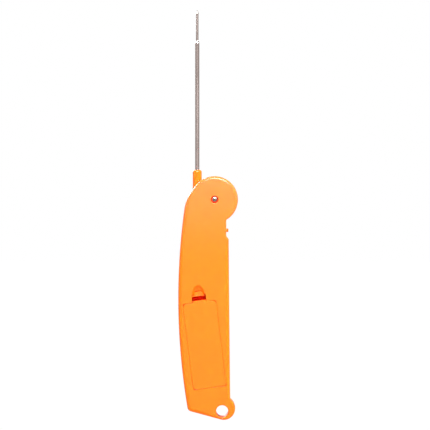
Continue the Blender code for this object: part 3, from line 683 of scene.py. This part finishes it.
def make_pivot_boss(paints):
    """The front shell's boss that the hub turns on."""
    profile = [
        (0, 3.9 * MM),
        (2.9 * MM, 3.9 * MM),
        (3.2 * MM, 3.6 * MM),
        (3.2 * MM, -4.3 * MM),
        (0, -4.3 * MM),
    ]
    boss = turned("pivot_boss", profile, along_y(*PIVOT))
    on_pivot = Matrix.Translation((PIVOT.x, 0, PIVOT.y))
    thread = circle(1.5 * MM, 32)
    cut(boss, loft("thread_hole", thread, [(-7 * MM, 0), (5 * MM, 0)], on_pivot))
    dressed(boss, paints["shell"], "case", [])


def make_door(paints):
    """Flush door, its tongue, the folded U spring and the finger tab with two dimples."""
    under, top = 8.3 * MM, BACK_Y
    half_v = DOOR_SIZE[1] / 2
    edge = 0.14 * MM
    levels = [(under, 0.0)]
    levels += [(top - edge + rise, inset) for rise, inset in quarter_round(edge, 5)]
    door = loft("door_moulding", rounded_rectangle((0, 0), *DOOR_SIZE, 2.5 * MM), levels, BAY)

    # The spring's section, in v and y, swept across the tongue's width
    half_width = 4.6 * MM
    leg, inner, outer, bend = 0.9 * MM, half_v + 0.4 * MM, half_v + 4.15 * MM, 4 * MM
    bend_centre = ((inner + outer + leg) / 2, bend + (outer + leg - inner) / 2)
    outside_r = (outer + leg - inner) / 2
    section = [(half_v - 1 * MM, 8.4 * MM), (inner, 8.4 * MM)]
    section += arc(bend_centre, outside_r, 180, 360, 20)
    section += [
        (outer + leg, 9.1 * MM),
        (outer + leg - 0.3 * MM, 9.4 * MM),
        (outer + 0.1 * MM, 9.4 * MM),
    ]
    section += arc(bend_centre, outside_r - leg, 360, 180, 20)
    section += [
        (inner + leg, top - 0.35 * MM),
        (inner + leg - 0.3 * MM, top - 0.05 * MM),
        (half_v - 1 * MM, top - 0.05 * MM),
    ]
    # Local x, z of the loft are v and y of the bay, and local y runs across it.
    across = BAY @ Matrix(((0, 1, 0, 0), (0, 0, 1, 0), (1, 0, 0, 0), (0, 0, 0, 1)))
    soft = 0.12 * MM
    spring_levels = [
        (-half_width, soft),
        (-half_width + soft, 0),
        (half_width - soft, 0),
        (half_width, soft),
    ]
    join(door, loft("latch_spring", section, spring_levels, across))
    tab = [
        (-3.6 * MM, outer + 0.1 * MM),
        (3.6 * MM, outer + 0.1 * MM),
        (2.3 * MM, half_v + 7.5 * MM),
        (-2.3 * MM, half_v + 7.5 * MM),
    ]
    tab = thinned(softened(spaced(tab, 0.15 * MM), 8), 6)
    tab_levels = [
        (8.5 * MM, 0.15 * MM),
        (8.65 * MM, 0),
        (9.35 * MM, 0),
        (9.55 * MM, 0.08 * MM),
        (9.6 * MM, 0.3 * MM),
    ]
    join(door, loft("finger_tab", tab, tab_levels, BAY))
    # The legs stop short at opposite ends, so the slot shows past each.
    slot_ends = (((-4.8, 8, 33.9), (-3.7, 10, 35.25)), ((4.15, 7.5, 30.2), (4.8, 10.2, 31.5)))
    for ends in slot_ends:
        low, high = [[value * MM for value in end] for end in ends]
        cut(door, box("slot_end", low, high, BAY))
    half_profile = ((0, 0.5), (0.45, 0.25), (0.5, 0), (0.45, -0.25), (0, -0.5))
    dimple = [(radius * MM, height * MM) for radius, height in half_profile]
    for side in (-1, 1):
        place = BAY @ Matrix.Translation((side * 1.05 * MM, 9.75 * MM, half_v + 5.5 * MM))
        cut(door, turned("dimple", dimple, place @ Matrix.Rotation(math.pi / 2, 4, "X"), 24))
        low = (side * HOOK_U - 1.4 * MM, 7 * MM, -half_v - 1.4 * MM)
        high = (side * HOOK_U + 1.4 * MM, 7.9 * MM, -half_v + 1.5 * MM)
        join(door, box("hook", low, high, BAY))
        root_low = (low[0], 7.1 * MM, -half_v + 0.4 * MM)
        root_high = (high[0], 8.5 * MM, -half_v + 1.45 * MM)
        join(door, box("hook_root", root_low, root_high, BAY))
    dressed(door, paints["shell"], "door", ["battery_door"])
    # Painted shade, darker red, inside the U spring
    repainted(door, paints["deep"], WORLD, (-4.4, 0, 31.2), (4.4, 9.35, 34.2))


# ---------------------------------------------------------------- probe and screws


def make_hub(paints):
    """Disc with a bore and the lead's ring, and the round neck."""
    half, radius, edge = 3.3 * MM, 13 * MM, 0.4 * MM
    on_pivot = Matrix.Translation((PIVOT.x, 0, PIVOT.y))
    levels = [(half - edge + rise, inset) for rise, inset in quarter_round(edge, 4)]
    levels = [(-y, inset) for y, inset in reversed(levels)] + levels
    hub = loft("hub_moulding", circle(radius, 128), levels, on_pivot)
    ring = loft("ring", circle(10.5 * MM, 96), [(-5 * MM, 0), (-1.2 * MM, 0)], on_pivot)
    cut(ring, loft("ring_core", circle(6 * MM, 96), [(-6 * MM, 0), (0, 0)], on_pivot))
    cut(hub, loft("bore", circle(3.28 * MM, 96), [(-5 * MM, 0), (5 * MM, 0)], on_pivot), ring)

    neck_r = 3.15 * MM
    corner = 1.5 * MM
    neck = [(0, NECK_TOP), (neck_r - corner, NECK_TOP)]
    for step in range(1, 9):
        angle = math.radians(90 - 90 * step / 8)
        radius = neck_r - corner + corner * math.cos(angle)
        neck.append((radius, NECK_TOP - corner + corner * math.sin(angle)))
    foot = PIVOT.y + 0.3 * MM
    neck += [(neck_r, foot + 0.5 * MM), (neck_r - 0.5 * MM, foot), (0, foot)]
    join(hub, turned("neck", neck, Matrix.Translation((STEM_X, 0, 0)), 96))
    socket = [
        (0, NECK_TOP + 1 * MM),
        (STEM_R + 0.3 * MM, NECK_TOP + 1 * MM),
        (STEM_R + 0.3 * MM, NECK_TOP),
        (STEM_R + 0.06 * MM, NECK_TOP - 0.3 * MM),
        (STEM_R + 0.06 * MM, PIVOT.y + 2 * MM),
        (0, PIVOT.y + 2 * MM),
    ]
    cut(hub, turned("socket", socket, Matrix.Translation((STEM_X, 0, 0)), 64))
    dressed(hub, paints["hub"], "probe", ["probe_hub"])


def make_stem(paints):
    """Drawn tube, swaged down to the reduced tip, closed by a small ground cone."""
    tip_r = 0.9 * MM
    taper_low, taper_top = PIVOT.y + 109.2 * MM, PIVOT.y + 111.9 * MM
    profile = [(0, STEM_TOP), (0.16 * MM, STEM_TOP - 0.04 * MM), (0.34 * MM, STEM_TOP - 0.25 * MM)]
    profile += [(tip_r - 0.06 * MM, STEM_TOP - 1.65 * MM), (tip_r, STEM_TOP - 1.95 * MM)]
    for step in range(13):
        share = step / 12
        ease = share * share * (3 - 2 * share)
        height = taper_top + (taper_low - taper_top) * share
        profile.append((tip_r + (STEM_R - tip_r) * ease, height))
    low = PIVOT.y + 2.3 * MM
    profile += [(STEM_R, low + (taper_low - low) * share) for share in (0.75, 0.5, 0.25)]
    profile += [(STEM_R, low), (0, low)]
    stem = turned("stem_tube", profile, Matrix.Translation((STEM_X, 0, 0)), 72)
    dressed(stem, paints["stem"], "probe", ["probe_stem"])


def make_screw(paints, name, node, head, shank, place, turn):
    """A pan head with a cross recess painted dark as shade, on a plain shank: its radius and end's
    height.
    """
    head_r, low_y, high_y = head
    shank_r, shank_y = shank
    height = high_y - low_y
    profile = [(0, high_y)]
    for step in range(1, 9):
        angle = math.radians(90 * step / 8)
        radius = head_r * math.sin(angle)
        profile.append((radius, low_y + height * (0.35 + 0.65 * math.cos(angle))))
    profile += [(head_r, low_y + 0.1 * MM), (head_r - 0.1 * MM, low_y), (shank_r, low_y)]
    profile += [(shank_r, shank_y + 0.6 * MM), (shank_r * 0.5, shank_y), (0, shank_y)]
    screw = turned(name, profile, place, 64)
    for quarter in (0, 90):
        spin = Matrix.Rotation(math.radians(turn + quarter), 4, "Z")
        low = (-head_r * 0.68, -RECESS_HALF, high_y - height * 0.75)
        high = (head_r * 0.68, RECESS_HALF, high_y + 1 * MM)
        cut(screw, box("drive", low, high, place @ spin, edge=0.08 * MM))
    dressed(screw, paints["screw"], "case", [node])

    # Painted shade, near black, on the recess's walls
    reach, half, deep, top = head_r / MM * 0.69, 0.21, height / MM, high_y / MM
    for quarter in (0, 90):
        spin = Matrix.Rotation(math.radians(-turn - quarter), 4, "Z")
        low, high = (-reach, -half, top - 0.8 * deep), (reach, half, top - 0.3 * deep)
        repainted(screw, paints["recess_shade_paint"], spin, low, high)


def make_screws(paints):
    shank = (1.2 * MM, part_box("pivot_screw")[0].y)
    place = along_y(*PIVOT)
    make_screw(paints, "pivot_cross_screw", "pivot_screw", PIVOT_HEAD, shank, place, 62)
    shank = (1 * MM, -5.9 * MM)
    for number, (u, v) in enumerate(SCREW_PLACES, 1):
        name, node = f"case_cross_screw_{number}", f"case_screw_{number}"
        make_screw(paints, name, node, CASE_HEAD, shank, BAY @ along_y(u, v), 20 * number)


def make_plunger(paints):
    low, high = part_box("fold_plunger")
    nose_low = (low.x, -1.5 * MM, low.z + 0.8 * MM)
    nose_high = (-0.65 * MM, 1.5 * MM, high.z - 0.8 * MM)
    plunger = box("plunger_nub", nose_low, nose_high, edge=0.45 * MM)
    flange_low, flange_high = (-0.85 * MM, low.y, low.z), (-0.15 * MM, high.y, high.z)
    join(plunger, box("plunger_flange", flange_low, flange_high, edge=0.15 * MM))
    dressed(plunger, paints["hub"], "plunger", ["fold_plunger"])


# ---------------------------------------------------------------- display and keys


def make_display(paints):
    low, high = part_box("display_lens")
    centre = ((low.x + high.x) / 2, (low.z + high.z) / 2)
    width, height = high.x - low.x, high.z - low.z
    edge = 0.2 * MM
    levels = [(high.y, 0.0), (low.y + edge, 0.0), (low.y + edge * 0.3, edge * 0.3), (low.y, edge)]
    lens = loft("display_window", rounded_rectangle(centre, width, height, 2.5 * MM), levels)
    dressed(lens, paints["lens"], "case", ["display_lens"])

    outer = rounded_rectangle(centre, width - 0.3 * MM, height - 0.3 * MM, 2.4 * MM)
    inner = rounded_rectangle(centre, 20 * MM, 27 * MM, 0.8 * MM)
    mask = loft("window_mask", outer, [(-9.1 * MM, 0), (-9.03 * MM, 0)])
    cut(mask, loft("mask_hole", inner, [(-9.5 * MM, 0), (-8.5 * MM, 0)]))
    dressed(mask, paints["black"], "case", [])

    panel_low, panel_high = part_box("lcd_panel")
    glass = box("lcd_glass", panel_low, panel_high, edge=0.1 * MM)
    dressed(glass, paints["lcd"], "case", ["lcd_panel"])
    make_reading(paints, centre, panel_low.y)


def make_reading(paints, centre, glass_y):
    """Seven-segment digits and simple icons, as thin dark shapes on the glass."""
    pieces = []
    front, back = glass_y - 0.06 * MM, glass_y - 0.01 * MM

    def ink(outline, hollow=None):
        """One printed shape, with a hole in it if hollow is an outline too."""
        shape = loft("segment", outline, [(front, 0), (back, 0)])
        if hollow:
            cut(shape, loft("hole", hollow, [(front - MM, 0), (back + MM, 0)]))
        pieces.append(shape)

    def stroke(x, z, width, height):
        """A segment with pointed ends."""
        thick = min(width, height) / 2
        if width > height:
            shape = [(-width / 2, 0), (-width / 2 + thick, -thick), (width / 2 - thick, -thick)]
        else:
            shape = [(0, -height / 2), (thick, -height / 2 + thick), (thick, height / 2 - thick)]
        shape += [(-px, -pz) for px, pz in shape]
        ink([(x + px, z + pz) for px, pz in shape])

    def plate(x, z, width, height, radius):
        """A small rounded rectangle, placed from the display's middle."""
        return rounded_rectangle((centre[0] + x, centre[1] + z), width, height, radius, 2)

    lit = {"6": "acdefg", "3": "abcdg", "5": "acdfg"}
    digit_w, digit_h, thick, digits_z = 3.9 * MM, 8.2 * MM, 0.95 * MM, 1.5 * MM
    places = {
        "a": (0, digit_h / 2, True),
        "d": (0, -digit_h / 2, True),
        "g": (0, 0, True),
        "b": (digit_w / 2, digit_h / 4, False),
        "c": (digit_w / 2, -digit_h / 4, False),
        "e": (-digit_w / 2, -digit_h / 4, False),
        "f": (-digit_w / 2, digit_h / 4, False),
    }
    for number, digit in enumerate("635"):
        past_point = 0.9 * MM if number == 2 else 0
        start_x = centre[0] - 6.6 * MM + number * 5.9 * MM + past_point
        for segment in lit[digit]:
            dx, dz, flat = places[segment]
            width = digit_w - 0.25 * MM if flat else thick
            height = thick if flat else digit_h / 2 - 0.25 * MM
            stroke(start_x + dx, centre[1] + digits_z + dz, width, height)
    # Decimal point, degree ring, bar graph and battery
    ink(circle(0.6 * MM, 16, (centre[0] + 2.55 * MM, centre[1] + digits_z - digit_h / 2)))
    ring_at = (centre[0] + 7.6 * MM, centre[1] + 8.6 * MM)
    ink(circle(0.8 * MM, 24, ring_at), circle(0.4 * MM, 24, ring_at))
    for bar in range(6):
        ink(plate(-7.2 * MM + bar * 1.8 * MM, -8 * MM, 1.2 * MM, 1.6 * MM, 0.15 * MM))
    battery_z = 10.2 * MM
    ink(
        plate(-6.4 * MM, battery_z, 3.6 * MM, 1.9 * MM, 0.2 * MM),
        plate(-6.4 * MM, battery_z, 2.9 * MM, 1.2 * MM, 0.1 * MM),
    )
    ink(plate(-4.35 * MM, battery_z, 0.3 * MM, 0.9 * MM, 0.05 * MM))
    ink(plate(-6.9 * MM, battery_z, 1.6 * MM, 0.9 * MM, 0.05 * MM))
    reading = merged("display_reading", pieces)
    dressed(reading, paints["ink"], "case", [], weighted=False)


def merged(name, pieces):
    """Several small solids as one object."""
    shape = bmesh.new()
    for piece in pieces:
        mesh = piece.data
        mesh.transform(piece.matrix_world)
        shape.from_mesh(mesh)
        bpy.data.objects.remove(piece)
    return new_object(name, shape)


def make_keys(paints):
    """Soft keys with a crowned top, and a small generic mark on each."""
    for name in ("power", "hold", "unit"):
        low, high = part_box(name + "_button")
        centre = ((low.x + high.x) / 2, (low.z + high.z) / 2)
        outline = rounded_rectangle(centre, 14 * MM, 7.5 * MM, 3.75 * MM, 14)
        crown = 0.7 * MM
        levels = [(-7.6 * MM, 0.0)]
        for step in range(7):
            angle = math.radians(90 * step / 6)
            inset = 1.1 * crown * (1 - math.cos(angle))
            levels.append((low.y + crown - crown * math.sin(angle), inset))
        key = loft(name + "_key", outline, levels)
        flange = rounded_rectangle(centre, 16 * MM, 9.5 * MM, 3 * MM, 8)
        join(key, loft("flange", flange, [(-8 * MM, 0), (-7.4 * MM, 0)]))
        dressed(key, paints["key"], name + "_key", [name + "_button"])
        mark_y = low.y - 0.02 * MM
        flat = [(mark_y, 0.03 * MM), (low.y + 0.05 * MM, 0)]
        through = [(mark_y - MM, 0), (mark_y + MM, 0)]
        if name == "power":
            mark = loft("mark", circle(1.35 * MM, 40, centre), flat)
            cut(mark, loft("hole", circle(1 * MM, 40, centre), through))
            gap_low = (centre[0] - 0.5 * MM, mark_y - MM, centre[1] + 0.4 * MM)
            gap_high = (centre[0] + 0.5 * MM, mark_y + MM, centre[1] + 2 * MM)
            cut(mark, box("gap", gap_low, gap_high))
            bar_at = (centre[0], centre[1] + 0.95 * MM)
            bar = rounded_rectangle(bar_at, 0.36 * MM, 1.7 * MM, 0.15 * MM, 4)
            mark = merged("power_mark", [mark, loft("bar", bar, flat)])
        elif name == "hold":
            bars = []
            for x in (-0.6 * MM, 0.6 * MM):
                bar_at = (centre[0] + x, centre[1])
                bar = rounded_rectangle(bar_at, 0.5 * MM, 2.2 * MM, 0.2 * MM, 4)
                bars.append(loft("bar", bar, flat))
            mark = merged("hold_mark", bars)
        else:
            mark = loft("unit_mark", circle(0.85 * MM, 32, centre), flat)
            cut(mark, loft("hole", circle(0.5 * MM, 32, centre), through))
        dressed(mark, paints["mark"], name + "_key", [], weighted=False)


# ---------------------------------------------------------------- inside


def dress_inner_nodes(paints):
    """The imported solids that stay: each gets the material of what it is."""
    looks = {
        "spring": [
            "positive_contact",
            "negative_contact",
            "bridge_contact",
            "wave_washer",
            "negative_spring",
            "bridge_spring",
        ],
        "nylon": ["friction_washer", "lcd_frame"],
        "black": ["processor_chip", "power_switch", "hold_switch", "unit_switch", "fold_switch"],
        "rubber": ["lower_zebra_strip", "upper_zebra_strip", "probe_lead"],
        "board": ["circuit_board"],
        "cell": ["battery_cell_1", "battery_cell_2"],
        "bead": ["sensor_bead"],
        "wire": ["sensor_wire"],
    }
    for look, names in looks.items():
        for name in names:
            node = frame["nodes"][name]
            node.data.materials.clear()
            node.data.materials.append(paints[look])


# ---------------------------------------------------------------- stage


def glowing(name, strength):
    """A material that gives off plain white light."""
    material = bpy.data.materials.new(name)
    material.use_nodes = True
    tree = material.node_tree
    tree.nodes.clear()
    output = tree.nodes.new("ShaderNodeOutputMaterial")
    emission = add_node(tree, "ShaderNodeEmission", Strength=strength)
    emission.inputs["Color"].default_value = (1, 1, 1, 1)
    tree.links.new(emission.outputs["Emission"], output.inputs["Surface"])
    return material


def make_light(name, place, target, size, power, glossy=True):
    data = bpy.data.lights.new(name, "AREA")
    data.shape = "RECTANGLE"
    data.size, data.size_y = size
    data.energy = power
    light = bpy.data.objects.new(name, data)
    light.location = place
    light.visible_camera = False
    light.visible_glossy = glossy
    light.rotation_euler = (Vector(target) - Vector(place)).to_track_quat("-Z", "Y").to_euler()
    bpy.context.scene.collection.objects.link(light)


def make_room():
    """A plain white room and floor. The camera sees the room, its dimmer walls light the object."""
    world = bpy.data.worlds.new("studio")
    bpy.context.scene.world = world
    world.use_nodes = True
    tree = world.node_tree
    walls = tree.nodes["Background"]
    walls.inputs["Color"].default_value = (1.0, 0.97, 0.94, 1)
    walls.inputs["Strength"].default_value = 0.35
    white = add_node(tree, "ShaderNodeBackground", Strength=1.0)
    white.inputs["Color"].default_value = (1, 1, 1, 1)
    choice = tree.nodes.new("ShaderNodeMixShader")
    path = tree.nodes.new("ShaderNodeLightPath")
    tree.links.new(path.outputs["Is Camera Ray"], choice.inputs["Fac"])
    tree.links.new(walls.outputs["Background"], choice.inputs[1])
    tree.links.new(white.outputs["Background"], choice.inputs[2])
    tree.links.new(choice.outputs["Shader"], tree.nodes["World Output"].inputs["Surface"])

    floor_shape = bmesh.new()
    bmesh.ops.create_grid(floor_shape, x_segments=1, y_segments=1, size=6)
    floor_z = CAD_BOX[0][2] - 0.3 * MM
    floor = new_object("floor", floor_shape, Matrix.Translation((0, 0, floor_z)))
    floor.data.materials.append(glowing("white_floor", 1.02))
    floor.visible_diffuse = False
    floor.visible_glossy = False
    floor.visible_shadow = False


def make_lights():
    """Soft studio lights. Those that would streak the steel are kept out of reflections."""
    middle = (0.005, 0, 0.13)
    make_light("top_strip", (-0.12, 0.62, 0.74), middle, (0.6, 0.22), 16)
    make_light("right_side", (-1.7, 0.1, 0.25), middle, (0.6, 1.2), 26, glossy=False)
    make_light("under", (-0.3, 0.4, -1.1), middle, (0.8, 0.8), 12, glossy=False)
    make_light("left_side", (1.4, 0.7, 0.2), middle, (0.6, 1.2), 8, glossy=False)
    make_light("behind_camera", (0.02, 1.9, 0.2), middle, (0.4, 1.2), 0.7)
    make_light("front_key", (0.6, -1.3, 0.8), middle, (0.8, 0.8), 32)


def make_camera():
    """Square on to the thermometer's back, frame_width across at the height of plane_y."""
    frame_width, distance = 0.301, 1.8
    plane_y = 4 * MM
    data = bpy.data.cameras.new("camera")
    data.sensor_width = 36
    data.lens = data.sensor_width * distance / frame_width
    data.clip_start, data.clip_end = 0.01, 50
    camera = bpy.data.objects.new("camera", data)
    camera.location = (5.0 * MM, plane_y + distance, 137.1 * MM)
    camera.rotation_euler = (math.radians(90), 0, math.radians(180))
    bpy.context.scene.collection.objects.link(camera)
    bpy.context.scene.camera = camera
    bpy.context.scene.view_settings.view_transform = "Standard"


make_room()
make_lights()
make_camera()
paints = make_materials()
make_back_shell(paints)
make_front_shell(paints)
make_pivot_boss(paints)
make_door(paints)
make_hub(paints)
make_stem(paints)
make_screws(paints)
make_plunger(paints)
make_display(paints)
make_keys(paints)
dress_inner_nodes(paints)
